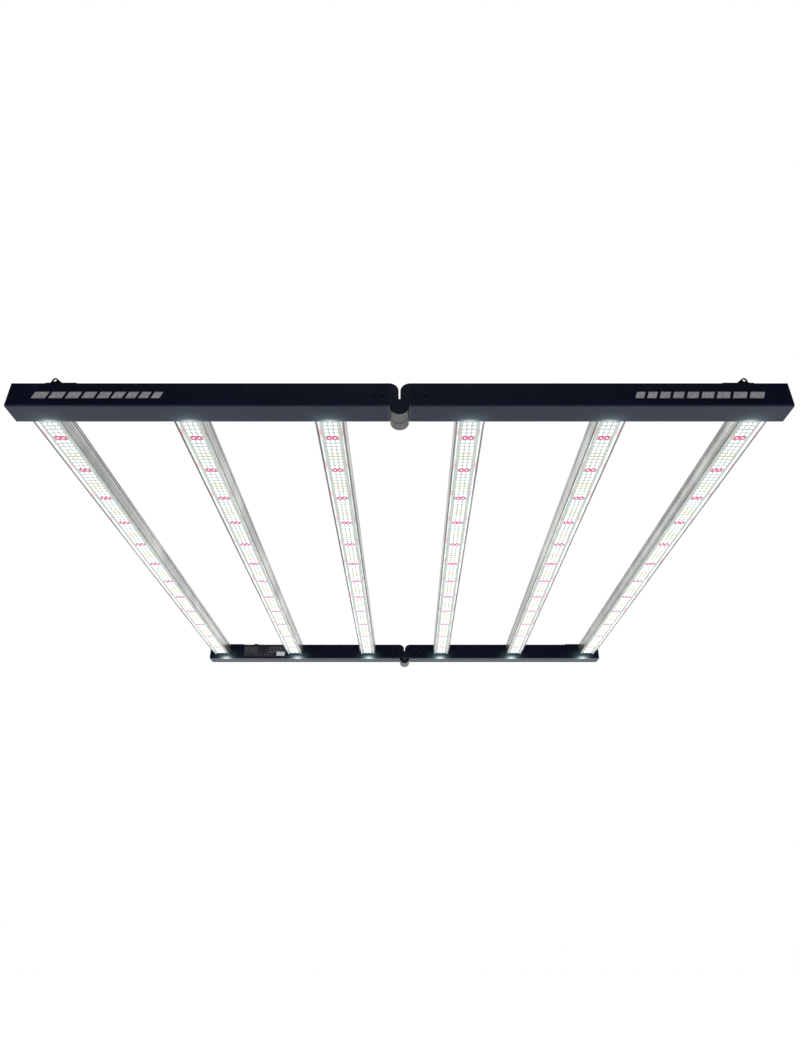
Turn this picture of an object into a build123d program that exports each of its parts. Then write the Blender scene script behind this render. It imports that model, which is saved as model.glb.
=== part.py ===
from build123d import *
import os

# Foldable six-bar LED grow light. Millimetres, +Z up, light shining down.
# The origin is the middle of the plan, on the plane under the two hinge barrels.
# X runs along the rails (the light folds at X = 0), Y runs along the LED bars.

os.makedirs("parts", exist_ok=True)

# ---------------------------------------------------------------- driving dimensions
WIDTH = 1100.0            # along the rails, open
LENGTH = 1180.0           # across the two rails
RAIL_DEPTH = 38.0
RAIL_HEIGHT = 40.0
RAIL_WALL = 2.0
RAIL_CORNER = 2.5         # rounding of the lower lengthwise edges
LEDGE_WIDTH = 4.0         # inner ledges that carry the top cover
LEDGE_HEIGHT = 3.0
COVER_THICKNESS = 2.0
CAP_THICKNESS = 3.0
FIT_GAP = 0.1             # between pieces that slide into each other in assembly

KNUCKLE_RADIUS = 13.5
KNUCKLE_CLEARANCE = 0.3   # between a knuckle and the other half's relief
AXIS_DROP = 1.0           # hinge axis below the rails' underside
CENTRE_GAP = 2.5          # between the two halves above the knuckles
HEAD_END = 16.0           # where the rail extrusion starts, from the hinge axis
SPIGOT_END = 46.0
HEAD_ROUND = 14.0         # top corner of each hinge block
OUTER_KNUCKLE = 20.0      # length of the left half's knuckle
WASHER_THICKNESS = 0.8
PIN_RADIUS = 3.0
PIN_SKIN = 3.0            # metal left over the blind end of the pin's hole
BUSH_RADIUS = 4.5
PRESS_GAP = 0.01
RUNNING_GAP = 0.05
PIN_HEAD_RADIUS = 6.0
PIN_HEAD_THICKNESS = 2.4
PIN_HEAD_RECESS = 3.0

BAR_PITCH = 206.3
BAR_WIDTH = 42.4
BAR_HEIGHT = 26.0
BAR_LIFT = 12.0           # bar's underside above the rails' underside
BOARD_WIDTH = 30.0
BOARD_THICKNESS = 1.6
BOARD_RECESS = 2.0        # board face above the lips
BASE_THICKNESS = 4.0
FIN_THICKNESS = 1.4
FIN_POSITIONS = (3.4, 9.2, 13.8)
PORT_OFFSET = 6.3         # screw ports either side of the bar's centre line
PORT_HEIGHT = 15.0

LED_ROW_PITCH = 8.98
LED_STEPS_PER_RED_ROW = 10
RED_ROWS = 12
RED_PAIR_OFFSET = 4.4
RED_LED_RADIUS = 1.75
RED_LED_HEIGHT = 1.0

EYE_X = 491.0             # hanging eye, from the fold line
EYE_RADIUS = 2.4
LUG_HEIGHT = 11.3
LUG_THICKNESS = 2.0
LUG_SETBACK = 3.0         # middle of the upright lug, from the rail's outer face
LUG_ROUND = 3.8
LUG_OUTSIDE = 5.5         # reach of the lug's foot away from the fold
LUG_INSIDE = 11.5         # reach of its sloping side towards the fold
FLANGE_THICKNESS = 2.0
FLANGE_WIDTH = 36.0
FLANGE_OUTSIDE = 13.0
FLANGE_INSIDE = 33.0

DRIVER_START = 60.0
DRIVER_END = 350.0
DRIVER_WIDTH = 26.0
DRIVER_HEIGHT = 26.0
WIRE_RADIUS = 1.5
WIRE_HEIGHT = 21.5        # wires above the rails' underside

DIMMER_X = 401.0
DIMMER_HEIGHT = 29.0      # dimmer axis above the rails' underside
KNOB_RADIUS = 8.0
KNOB_LENGTH = 10.0
SHAFT_RADIUS = 3.0
GLAND_X = 425.0
CABLE_RADIUS = 4.0

# ---------------------------------------------------------------- derived planes
HALF = WIDTH / 2
OUTER_Y = LENGTH / 2
INNER_Y = OUTER_Y - RAIL_DEPTH
MID_Y = OUTER_Y - RAIL_DEPTH / 2
CAVITY_INNER = INNER_Y + RAIL_WALL
CAVITY_OUTER = OUTER_Y - RAIL_WALL
AXIS_Z = KNUCKLE_RADIUS
RAIL_BOTTOM = AXIS_Z + AXIS_DROP
RAIL_TOP = RAIL_BOTTOM + RAIL_HEIGHT
FLOOR_TOP = RAIL_BOTTOM + RAIL_WALL
COVER_BOTTOM = RAIL_TOP - COVER_THICKNESS
LEDGE_BOTTOM = COVER_BOTTOM - LEDGE_HEIGHT
CAP_FACE = HALF - CAP_THICKNESS
BAR_BOTTOM = RAIL_BOTTOM + BAR_LIFT
LED_PLANE = BAR_BOTTOM + BOARD_RECESS
BASE_BOTTOM = LED_PLANE + BOARD_THICKNESS
BASE_TOP = BASE_BOTTOM + BASE_THICKNESS
BAR_TOP = BAR_BOTTOM + BAR_HEIGHT
SPLIT_Y = OUTER_Y - OUTER_KNUCKLE              # left knuckle's inner face
RIGHT_FACE_Y = SPLIT_Y - WASHER_THICKNESS - FIT_GAP
WIRE_Z = RAIL_BOTTOM + WIRE_HEIGHT
WIRE_Y = CAVITY_INNER + 4.5
DIMMER_Z = RAIL_BOTTOM + DIMMER_HEIGHT
BAR_OFFSETS = [BAR_PITCH * (step + 0.5) for step in range(3)]

# ---------------------------------------------------------------- fasteners and their places
SMALL_SCREW = dict(shaft=1.2, head=2.2, sink=1.2)      # countersunk, covers and end caps
LARGE_SCREW = dict(shaft=1.95, head=3.7, sink=1.7)     # countersunk, hinge blocks and drivers
SCREW_GAP = 0.05
PAN_SHAFT = 1.45
PAN_HEAD = 2.8
PAN_HEAD_HEIGHT = 2.2
BAR_SCREW_LENGTH = 14.0
LUG_SCREW_LENGTH = 6.5
COVER_SCREW_X = (70.0, 225.0, 380.0, 530.0)
COVER_SCREW_LENGTH = 4.8
CAP_SCREW_LENGTH = 8.0
LEDGE_LINES = (CAVITY_INNER + LEDGE_WIDTH / 2, CAVITY_OUTER - LEDGE_WIDTH / 2)
LEDGE_MID_Z = COVER_BOTTOM - LEDGE_HEIGHT / 2
HINGE_SCREW_X = (23.0, 37.0)
HINGE_SCREW_Z = RAIL_BOTTOM + 18.0
HINGE_SCREW_LENGTH = 9.0
DRIVER_SCREW_X = (169.0, 245.0)
DRIVER_SCREW_LENGTH = 8.0
LUG_SCREW_X = (EYE_X - 27.0, EYE_X + 9.5)


# ---------------------------------------------------------------- shape helpers
def block(x0, x1, y0, y1, z0, z1):
    """A box given by its two corners."""
    return Pos((x0 + x1) / 2, (y0 + y1) / 2, (z0 + z1) / 2) * Box(x1 - x0, y1 - y0, z1 - z0)


def rod_x(y, z, radius, x0, x1):
    """A round bar along X."""
    return Pos((x0 + x1) / 2, y, z) * Rot(0, 90, 0) * Cylinder(radius, x1 - x0)


def rod_y(x, z, radius, y0, y1):
    """A round bar along Y."""
    return Pos(x, (y0 + y1) / 2, z) * Rot(90, 0, 0) * Cylinder(radius, y1 - y0)


def rod_z(x, y, radius, z0, z1):
    """A round bar along Z."""
    return Pos(x, y, (z0 + z1) / 2) * Cylinder(radius, z1 - z0)


def countersunk(shaft, head, sink, length, extra=0.0):
    """A countersunk screw pointing down, its flat head at the origin."""
    cone = Pos(0, 0, -sink / 2) * Cone(shaft + extra, head + extra, sink)
    return cone + Pos(0, 0, -length / 2) * Cylinder(shaft + extra, length)


def pan_head(length, extra=0.0):
    """A pan-head screw pointing down, the seat of its head at the origin."""
    head = Pos(0, 0, PAN_HEAD_HEIGHT / 2) * Cylinder(PAN_HEAD + extra, PAN_HEAD_HEIGHT)
    top_edge = head.edges().sort_by(Axis.Z)[-1]
    head = fillet(top_edge, PAN_HEAD_HEIGHT * 0.4)
    return head + Pos(0, 0, -length / 2) * Cylinder(PAN_SHAFT + extra, length)


def placed(shape, side, end):
    """Take a piece drawn on the rear right to another corner: side and end are +1 or -1."""
    if side < 0:
        shape = mirror(shape, about=Plane.YZ)
    if end < 0:
        shape = mirror(shape, about=Plane.XZ)
    return shape


def save(name, *solids):
    """Write one sub-part; several separate solids share the file as a group."""
    shape = solids[0] if len(solids) == 1 else Compound(children=list(solids))
    export_step(shape, f"parts/{name}.step")


# ---------------------------------------------------------------- screw places, rear right corner
def cover_screws(extra=0.0):
    """Screws that hold a top cover to the ledges."""
    return [Pos(x, y, RAIL_TOP) * countersunk(**SMALL_SCREW, length=COVER_SCREW_LENGTH, extra=extra)
            for x in COVER_SCREW_X for y in LEDGE_LINES]


def cap_screws(extra=0.0):
    """Screws through an end cap into the ends of the ledges."""
    screw = Rot(0, 90, 0) * countersunk(**SMALL_SCREW, length=CAP_SCREW_LENGTH, extra=extra)
    return [Pos(HALF, y, LEDGE_MID_Z) * screw for y in LEDGE_LINES]


def hinge_screws(extra=0.0):
    """Screws through both side walls of the rail into the hinge block's spigot."""
    screw = countersunk(**LARGE_SCREW, length=HINGE_SCREW_LENGTH, extra=extra)
    outer = [Pos(x, OUTER_Y, HINGE_SCREW_Z) * Rot(-90, 0, 0) * screw for x in HINGE_SCREW_X]
    inner = [Pos(x, INNER_Y, HINGE_SCREW_Z) * Rot(90, 0, 0) * screw for x in HINGE_SCREW_X]
    return outer + inner


def driver_screws(extra=0.0):
    """Screws up through the rail's floor into the driver."""
    screw = Rot(180, 0, 0) * countersunk(**LARGE_SCREW, length=DRIVER_SCREW_LENGTH, extra=extra)
    return [Pos(x, MID_Y, RAIL_BOTTOM) * screw for x in DRIVER_SCREW_X]


def bar_screws(extra=0.0):
    """Screws from inside the rail into the screw ports of the bars."""
    screw = Rot(-90, 0, 0) * pan_head(BAR_SCREW_LENGTH, extra)
    return [Pos(x + side * PORT_OFFSET, CAVITY_INNER, BAR_BOTTOM + PORT_HEIGHT) * screw
            for x in BAR_OFFSETS for side in (-1, 1)]


def lug_screws(extra=0.0):
    """Screws through a hanger's flange and the cover into the ledges."""
    screw = countersunk(**SMALL_SCREW, length=LUG_SCREW_LENGTH, extra=extra)
    return [Pos(x, y, RAIL_TOP + FLANGE_THICKNESS) * screw for x in LUG_SCREW_X for y in LEDGE_LINES]


# ---------------------------------------------------------------- rails
def rail(with_driver):
    """Open-topped channel with two ledges under its mouth."""
    body = block(HEAD_END, CAP_FACE, INNER_Y, OUTER_Y, RAIL_BOTTOM, RAIL_TOP)
    low_edges = body.edges().filter_by(Axis.X).group_by(Axis.Z)[0]
    body = fillet(low_edges, RAIL_CORNER)
    body -= block(HEAD_END, CAP_FACE, CAVITY_INNER, CAVITY_OUTER, FLOOR_TOP, RAIL_TOP)
    body += block(HEAD_END, CAP_FACE, CAVITY_INNER, CAVITY_INNER + LEDGE_WIDTH,
                  LEDGE_BOTTOM, COVER_BOTTOM)
    body += block(HEAD_END, CAP_FACE, CAVITY_OUTER - LEDGE_WIDTH, CAVITY_OUTER,
                  LEDGE_BOTTOM, COVER_BOTTOM)
    cutters = cover_screws(SCREW_GAP) + cap_screws(SCREW_GAP) + hinge_screws(SCREW_GAP)
    cutters += bar_screws(SCREW_GAP) + lug_screws(SCREW_GAP)
    if with_driver:
        cutters += driver_screws(SCREW_GAP)
        cutters += [rod_y(x, WIRE_Z, GROMMET_RADIUS, INNER_Y, CAVITY_INNER) for x in BAR_OFFSETS]
    for cutter in cutters:
        body -= cutter
    return body


def cover():
    """Flat strip let in between the rail's side walls."""
    plate = block(HEAD_END + FIT_GAP, CAP_FACE, CAVITY_INNER + FIT_GAP, CAVITY_OUTER - FIT_GAP,
                  COVER_BOTTOM, RAIL_TOP)
    for cutter in cover_screws(SCREW_GAP) + lug_screws(SCREW_GAP):
        plate -= cutter
    return plate


def end_cap():
    """Plate that closes the outer end of a rail, with a plug that locates it."""
    plate = block(CAP_FACE, HALF, INNER_Y, OUTER_Y, RAIL_BOTTOM, RAIL_TOP)
    plate = fillet(plate.edges().filter_by(Axis.X).group_by(Axis.Z)[0], RAIL_CORNER)
    plug_depth = 8.0
    plate += block(CAP_FACE - plug_depth, CAP_FACE, CAVITY_INNER + FIT_GAP, CAVITY_OUTER - FIT_GAP,
                   FLOOR_TOP + FIT_GAP, LEDGE_BOTTOM - FIT_GAP)
    for cutter in cap_screws(SCREW_GAP):
        plate -= cutter
    return plate


# ---------------------------------------------------------------- hinge
def hinge_head():
    """The solid end of a rail half beside the fold, with its rounded top corner and its spigot."""
    head = block(CENTRE_GAP / 2, HEAD_END, INNER_Y, OUTER_Y, RAIL_BOTTOM, RAIL_TOP)
    head = fillet(head.edges().filter_by(Axis.Y).sort_by(Axis.Z)[-2:].sort_by(Axis.X)[0], HEAD_ROUND)
    head = fillet(head.edges().filter_by(Axis.X).group_by(Axis.Z)[0], RAIL_CORNER)
    head += block(HEAD_END, SPIGOT_END, CAVITY_INNER + FIT_GAP, CAVITY_OUTER - FIT_GAP,
                  FLOOR_TOP + FIT_GAP, LEDGE_BOTTOM - FIT_GAP)
    for cutter in hinge_screws(SCREW_GAP):
        head -= cutter
    return head


def knuckle(y0, y1):
    """A barrel about the hinge axis, its two rims lightly chamfered."""
    barrel = rod_y(0, AXIS_Z, KNUCKLE_RADIUS, y0, y1)
    return chamfer(barrel.edges().filter_by(GeomType.CIRCLE), 0.5)


def left_hinge_block():
    """Left half's block: relief for the inner knuckle, and the outer knuckle with a blind pin hole."""
    body = mirror(hinge_head(), about=Plane.YZ)
    body -= rod_y(0, AXIS_Z, KNUCKLE_RADIUS + KNUCKLE_CLEARANCE, INNER_Y - 1, SPLIT_Y)
    body += knuckle(SPLIT_Y, OUTER_Y)
    return body - rod_y(0, AXIS_Z, PIN_RADIUS, SPLIT_Y, OUTER_Y - PIN_SKIN)


def right_hinge_block():
    """Right half's block: relief for the outer knuckle, the inner knuckle, and the stop."""
    body = hinge_head()
    body -= rod_y(0, AXIS_Z, KNUCKLE_RADIUS + KNUCKLE_CLEARANCE, RIGHT_FACE_Y, OUTER_Y + 1)
    body += knuckle(INNER_Y, RIGHT_FACE_Y)
    body += hinge_stop()
    body -= rod_y(0, AXIS_Z, BUSH_RADIUS, INNER_Y, RIGHT_FACE_Y)
    return body - rod_y(0, AXIS_Z, PIN_HEAD_RADIUS + 0.5, INNER_Y, INNER_Y + PIN_HEAD_RECESS)


def hinge_stop():
    """Boss that closes the centre gap and stops the light from opening past flat."""
    stop_low = RAIL_BOTTOM + 14.0
    stop_high = RAIL_BOTTOM + 22.0
    stop_face = -CENTRE_GAP / 2 + FIT_GAP
    return block(stop_face, CENTRE_GAP, INNER_Y + 2.0, SPLIT_Y - 2.0, stop_low, stop_high)


def hinge_pin():
    """Headed pin, pressed into the left knuckle and turning in the right one's bush."""
    head_y = INNER_Y + PIN_HEAD_RECESS - FIT_GAP
    shaft = rod_y(0, AXIS_Z, PIN_RADIUS - PRESS_GAP, head_y, OUTER_Y - PIN_SKIN - FIT_GAP)
    return shaft + rod_y(0, AXIS_Z, PIN_HEAD_RADIUS, head_y - PIN_HEAD_THICKNESS, head_y)


def hinge_bush():
    """Plain bearing pressed into the right knuckle."""
    y0 = INNER_Y + PIN_HEAD_RECESS + FIT_GAP
    y1 = RIGHT_FACE_Y - FIT_GAP
    return (rod_y(0, AXIS_Z, BUSH_RADIUS - PRESS_GAP, y0, y1)
            - rod_y(0, AXIS_Z, PIN_RADIUS + RUNNING_GAP - PRESS_GAP, y0, y1))


def hinge_washer():
    """Thrust washer between the two knuckles."""
    return (rod_y(0, AXIS_Z, KNUCKLE_RADIUS - 0.8, SPLIT_Y - WASHER_THICKNESS, SPLIT_Y)
            - rod_y(0, AXIS_Z, PIN_RADIUS + 0.2, SPLIT_Y - WASHER_THICKNESS, SPLIT_Y))


# ---------------------------------------------------------------- LED bars
def bar_section():
    """Finned heat sink seen along the bar: lips, base, side walls, fins and two screw ports."""
    half = BAR_WIDTH / 2
    wall = 2.0
    lip_inner = BOARD_WIDTH / 2 + 0.2
    lip_slope = BASE_BOTTOM - BAR_BOTTOM - 0.6
    fin_height = BAR_TOP - BASE_TOP
    fin_mid = (BAR_TOP + BASE_TOP) / 2
    base = Pos(0, (BASE_BOTTOM + BASE_TOP) / 2) * Rectangle(BAR_WIDTH, BASE_THICKNESS)
    section = base
    for side in (-1, 1):
        lip = Polyline((side * lip_inner, BASE_BOTTOM), (side * lip_inner, BAR_BOTTOM + lip_slope),
                       (side * (lip_inner + lip_slope), BAR_BOTTOM), (side * half, BAR_BOTTOM),
                       (side * half, BASE_BOTTOM), close=True)
        section += make_face(lip)
        section += Pos(side * (half - wall / 2), fin_mid) * Rectangle(wall, fin_height)
        for offset in FIN_POSITIONS:
            section += Pos(side * offset, fin_mid) * Rectangle(FIN_THICKNESS, fin_height)
        port_at = Pos(side * PORT_OFFSET, BAR_BOTTOM + PORT_HEIGHT)
        section += port_at * Circle(PAN_SHAFT + 1.2)
        section -= port_at * Circle(PAN_SHAFT + SCREW_GAP)
        groove_depth = 0.9
        groove = Pos(side * (half - groove_depth / 2), LED_PLANE + 17.0)
        section -= groove * Rectangle(groove_depth, 1.8)
    return section


def heat_sink(section, x):
    """Bar extrusion between the inner faces of the two rails."""
    return Pos(x, 0, 0) * extrude(Plane.XZ * section, amount=INNER_Y, both=True)


def led_board(x):
    """Aluminium-core board under the heat sink's base."""
    margin = 2.0
    return block(x - BOARD_WIDTH / 2, x + BOARD_WIDTH / 2, -INNER_Y + margin, INNER_Y - margin,
                 LED_PLANE, BASE_BOTTOM)


def red_leds(x):
    """Pairs of deep-red LEDs, in rows spread evenly along the bar."""
    row_step = LED_ROW_PITCH * LED_STEPS_PER_RED_ROW
    rows = [(row - (RED_ROWS - 1) / 2) * row_step for row in range(RED_ROWS)]
    return [rod_z(x + side * RED_PAIR_OFFSET, y, RED_LED_RADIUS, LED_PLANE - RED_LED_HEIGHT, LED_PLANE)
            for y in rows for side in (-1, 1)]


# ---------------------------------------------------------------- power and wiring, rear right corner
GROMMET_RADIUS = 3.0
GROMMET_FLANGE = 3.4
CONNECTOR_HALF = 3.2
CONNECTOR_BACK = WIRE_Y + 2.5
HEADER_FACE = INNER_Y - 12.0


def driver():
    """Slim constant-current driver on the rail's floor."""
    y1 = CAVITY_OUTER - 0.5
    body = block(DRIVER_START, DRIVER_END, y1 - DRIVER_WIDTH, y1, FLOOR_TOP, FLOOR_TOP + DRIVER_HEIGHT)
    body = fillet(body.edges().filter_by(Axis.X).group_by(Axis.Z)[-1], 2.0)
    for cutter in driver_screws(SCREW_GAP):
        body -= cutter
    return body


def wire_connectors():
    """A splice block in the rail and a board header in the bar, for each bar."""
    splices = [block(x - CONNECTOR_HALF, x + CONNECTOR_HALF, WIRE_Y - 2.5, CONNECTOR_BACK,
                     WIRE_Z - 3.0, WIRE_Z + 2.6) for x in BAR_OFFSETS]
    headers = [block(x - 2.4, x + 2.4, HEADER_FACE - 12.0, HEADER_FACE, BASE_TOP, WIRE_Z + 4.0)
               for x in BAR_OFFSETS]
    return splices + headers


def wiring():
    """Leads into the bars, trunk wires from splice to splice, and the driver's output lead."""
    leads = [rod_y(x, WIRE_Z, WIRE_RADIUS, HEADER_FACE, WIRE_Y - 2.5) for x in BAR_OFFSETS]
    trunks = [rod_x(WIRE_Y, WIRE_Z, WIRE_RADIUS, near + CONNECTOR_HALF, far - CONNECTOR_HALF)
              for near, far in zip(BAR_OFFSETS, BAR_OFFSETS[1:])]
    lead_y = CAVITY_OUTER - 5.0
    far_bar = BAR_OFFSETS[-1]
    path = FilletPolyline((DRIVER_END, lead_y, WIRE_Z), (far_bar, lead_y, WIRE_Z),
                          (far_bar, CONNECTOR_BACK, WIRE_Z), radius=7.0)
    start = Plane(origin=(DRIVER_END, lead_y, WIRE_Z), z_dir=(1, 0, 0))
    output = sweep(start * Circle(WIRE_RADIUS), path=path)
    return leads + trunks + [output]


def grommets():
    """Rubber rings where the leads pass through the rail's inner wall."""
    rings = []
    for x in BAR_OFFSETS:
        ring = rod_y(x, WIRE_Z, GROMMET_RADIUS, INNER_Y, CAVITY_INNER)
        ring += rod_y(x, WIRE_Z, GROMMET_FLANGE, CAVITY_INNER, CAVITY_INNER + 1.0)
        rings.append(ring - rod_y(x, WIRE_Z, WIRE_RADIUS, INNER_Y, CAVITY_INNER + 1.0))
    return rings


# ---------------------------------------------------------------- hanging eyes
def hanger():
    """Steel flange across the rail with an upright, lopsided lug and a round eye at its outer edge."""
    top = RAIL_TOP + FLANGE_THICKNESS
    flange = block(EYE_X - FLANGE_INSIDE, EYE_X + FLANGE_OUTSIDE, MID_Y - FLANGE_WIDTH / 2,
                   MID_Y + FLANGE_WIDTH / 2, RAIL_TOP, top)
    flange = fillet(flange.edges().filter_by(Axis.Z), 2.0)
    eye_z = RAIL_TOP + LUG_HEIGHT - LUG_ROUND
    lug_y = OUTER_Y - LUG_SETBACK
    foot_height = 1.0
    tip = Pos(EYE_X, eye_z) * Circle(LUG_ROUND)
    foot_middle = EYE_X + (LUG_OUTSIDE - LUG_INSIDE) / 2
    foot = Pos(foot_middle, top) * Rectangle(LUG_OUTSIDE + LUG_INSIDE, foot_height)
    outline = make_hull(tip.edges() + foot.edges())
    lug = Pos(0, lug_y, 0) * extrude(Plane.XZ * outline, amount=LUG_THICKNESS / 2, both=True)
    body = flange + lug - rod_y(EYE_X, eye_z, EYE_RADIUS, lug_y - LUG_THICKNESS, lug_y + LUG_THICKNESS)
    for cutter in lug_screws(SCREW_GAP):
        body -= cutter
    return body


# ---------------------------------------------------------------- cable gland on the rear left cover
GLAND_THREAD = 6.0
GLAND_THREAD_END = COVER_BOTTOM - 8.0
GLAND_FLANGE = 9.5
GLAND_FLANGE_TOP = RAIL_TOP + 2.0
GLAND_STUB_TOP = RAIL_TOP + 4.5       # end of the thread inside the domed nut
GLAND_NUT_TOP = RAIL_TOP + 6.5
GLAND_NUT_RADIUS = 8.5
GLAND_SEAL_RADIUS = 5.2
GLAND_SEAL_BOTTOM = RAIL_TOP
LOCKNUT_HEIGHT = 3.0


def gland_body():
    """Low hexagon on the cover, on a thread that goes through it, bored out for the seal and the cable."""
    hexagon = extrude(RegularPolygon(GLAND_FLANGE, 6), amount=GLAND_FLANGE_TOP - RAIL_TOP)
    body = Pos(-GLAND_X, MID_Y, RAIL_TOP) * hexagon
    body += rod_z(-GLAND_X, MID_Y, GLAND_THREAD, GLAND_THREAD_END, GLAND_STUB_TOP)
    body -= rod_z(-GLAND_X, MID_Y, GLAND_SEAL_RADIUS, GLAND_SEAL_BOTTOM, GLAND_STUB_TOP)
    return body - rod_z(-GLAND_X, MID_Y, CABLE_RADIUS + 0.5, GLAND_THREAD_END, GLAND_STUB_TOP)


def gland_nut():
    """Low domed nut over the stub, squeezing the seal."""
    nut = rod_z(-GLAND_X, MID_Y, GLAND_NUT_RADIUS, GLAND_FLANGE_TOP, GLAND_NUT_TOP)
    nut = fillet(nut.edges().group_by(Axis.Z)[-1], 2.0)
    nut -= rod_z(-GLAND_X, MID_Y, GLAND_THREAD + RUNNING_GAP, GLAND_FLANGE_TOP, GLAND_STUB_TOP)
    return nut - rod_z(-GLAND_X, MID_Y, CABLE_RADIUS + 0.4, GLAND_FLANGE_TOP, GLAND_NUT_TOP)


def gland_seal():
    """Rubber sleeve round the cable, in the body under the nut."""
    return (rod_z(-GLAND_X, MID_Y, GLAND_SEAL_RADIUS - PRESS_GAP, GLAND_SEAL_BOTTOM, GLAND_STUB_TOP)
            - rod_z(-GLAND_X, MID_Y, CABLE_RADIUS, GLAND_SEAL_BOTTOM, GLAND_STUB_TOP))


def gland_locknut():
    """Thin nut under the cover."""
    z0 = COVER_BOTTOM - LOCKNUT_HEIGHT
    lock = Pos(-GLAND_X, MID_Y, z0) * extrude(RegularPolygon(9.0, 6), amount=LOCKNUT_HEIGHT)
    return lock - rod_z(-GLAND_X, MID_Y, GLAND_THREAD + RUNNING_GAP, z0, COVER_BOTTOM)


# ---------------------------------------------------------------- dimmer on the rear left rail
PLATE_THICKNESS = 0.8
PLATE_X = (-455.0, -336.0)
PLATE_Z = (RAIL_BOTTOM + 5.0, RAIL_BOTTOM + 37.0)
KNOB_BACK = INNER_Y - PLATE_THICKNESS - 0.8
POT_DEPTH = 8.0


def rating_plate():
    """Thin blank plate on the rail's inner face, with the dimmer's shaft through it."""
    plate = block(*PLATE_X, INNER_Y - PLATE_THICKNESS, INNER_Y, *PLATE_Z)
    return plate - rod_y(-DIMMER_X, DIMMER_Z, SHAFT_RADIUS + 1.0, INNER_Y - 1, INNER_Y)


def dimmer_pot():
    """Potentiometer body behind the rail's inner wall."""
    body = block(-DIMMER_X - 7.0, -DIMMER_X + 7.0, CAVITY_INNER, CAVITY_INNER + POT_DEPTH,
                 DIMMER_Z - 5.5, DIMMER_Z + 5.5)
    return body - rod_y(-DIMMER_X, DIMMER_Z, SHAFT_RADIUS + RUNNING_GAP, CAVITY_INNER,
                        CAVITY_INNER + POT_DEPTH)


def dimmer_shaft():
    """Shaft that carries the knob and turns in the potentiometer."""
    return rod_y(-DIMMER_X, DIMMER_Z, SHAFT_RADIUS, KNOB_BACK - KNOB_LENGTH + 2.0,
                 CAVITY_INNER + POT_DEPTH - 1.0)


def dimmer_knob():
    """Round knob with flutes and a raised pointer on its face."""
    knob = rod_y(-DIMMER_X, DIMMER_Z, KNOB_RADIUS, KNOB_BACK - KNOB_LENGTH, KNOB_BACK)
    knob = fillet(knob.edges().group_by(Axis.Y)[0], 1.0)
    flute = rod_y(0, KNOB_RADIUS + 0.9, 1.5, KNOB_BACK - KNOB_LENGTH, KNOB_BACK)
    for step in range(12):
        knob -= Pos(-DIMMER_X, 0, DIMMER_Z) * Rot(0, 15.0 + 30.0 * step, 0) * flute
    pointer = block(-DIMMER_X - 0.6, -DIMMER_X + 0.6, KNOB_BACK - KNOB_LENGTH - 0.5,
                    KNOB_BACK - KNOB_LENGTH + 0.5, DIMMER_Z + 2.0, DIMMER_Z + KNOB_RADIUS - 1.5)
    return knob + pointer - rod_y(-DIMMER_X, DIMMER_Z, SHAFT_RADIUS + PRESS_GAP,
                                  KNOB_BACK - KNOB_LENGTH + 2.0, KNOB_BACK)


# ---------------------------------------------------------------- the two halves
def save_half(name, side):
    """Write the pieces that both halves have; side is -1 for left and +1 for right."""
    for end_name, end in (("front", -1), ("rear", 1)):
        plain_rail = placed(rail(with_driver=end > 0), side, end)
        plain_cover = placed(cover(), side, end)
        if side < 0 and end > 0:
            plain_rail -= rod_y(-DIMMER_X, DIMMER_Z, SHAFT_RADIUS + 0.6, INNER_Y, CAVITY_INNER)
            plain_cover -= rod_z(-GLAND_X, MID_Y, GLAND_THREAD + FIT_GAP, COVER_BOTTOM, RAIL_TOP)
        save(f"{end_name}_rail_{name}", plain_rail)
        save(f"{end_name}_cover_{name}", plain_cover)
        save(f"{end_name}_end_cap_{name}", placed(end_cap(), side, end))
        save(f"{end_name}_hanger_{name}", placed(hanger(), side, end))
    both_ends = [(side, 1), (side, -1)]
    save(f"small_screws_{name}", *[placed(screw, *corner) for corner in both_ends
                                   for screw in cover_screws() + cap_screws() + lug_screws()])
    save(f"pan_screws_{name}", *[placed(screw, *corner) for corner in both_ends for screw in bar_screws()])
    large = [placed(screw, *corner) for corner in both_ends for screw in hinge_screws()]
    large += [placed(screw, side, 1) for screw in driver_screws()]
    save(f"large_screws_{name}", *large)
    save(f"driver_{name}", placed(driver(), side, 1))
    save(f"wiring_{name}", *[placed(wire, side, 1) for wire in wiring()])
    save(f"wire_connectors_{name}", *[placed(piece, side, 1) for piece in wire_connectors()])
    save(f"lead_grommets_{name}", *[placed(ring, side, 1) for ring in grommets()])


def save_bars():
    """Write the six bars, numbered from left to right."""
    section = bar_section()
    for side_name, side, first in (("left", -1, 1), ("right", 1, 4)):
        places = sorted(side * offset for offset in BAR_OFFSETS)
        for step, x in enumerate(places):
            save(f"heat_sink_{first + step}", heat_sink(section, x))
            save(f"led_board_{first + step}", led_board(x))
        save(f"red_leds_{side_name}", *[led for x in places for led in red_leds(x)])


def save_hinges():
    """Write the hinge pieces of both rails."""
    save("rear_hinge_block_left", left_hinge_block())
    save("rear_hinge_block_right", right_hinge_block())
    save("front_hinge_block_left", placed(left_hinge_block(), 1, -1))
    save("front_hinge_block_right", placed(right_hinge_block(), 1, -1))
    for name, piece in (("hinge_pins", hinge_pin()), ("hinge_bushes", hinge_bush()),
                        ("hinge_washers", hinge_washer())):
        save(name, piece, placed(piece, 1, -1))


def save_controls():
    """Write the cable gland and the dimmer, which only the rear left rail has."""
    save("gland_body", gland_body())
    save("gland_nut", gland_nut())
    save("gland_seal", gland_seal())
    save("gland_locknut", gland_locknut())
    save("rating_plate", rating_plate())
    save("dimmer_pot", dimmer_pot())
    save("dimmer_shaft", dimmer_shaft())
    save("dimmer_knob", dimmer_knob())


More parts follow.
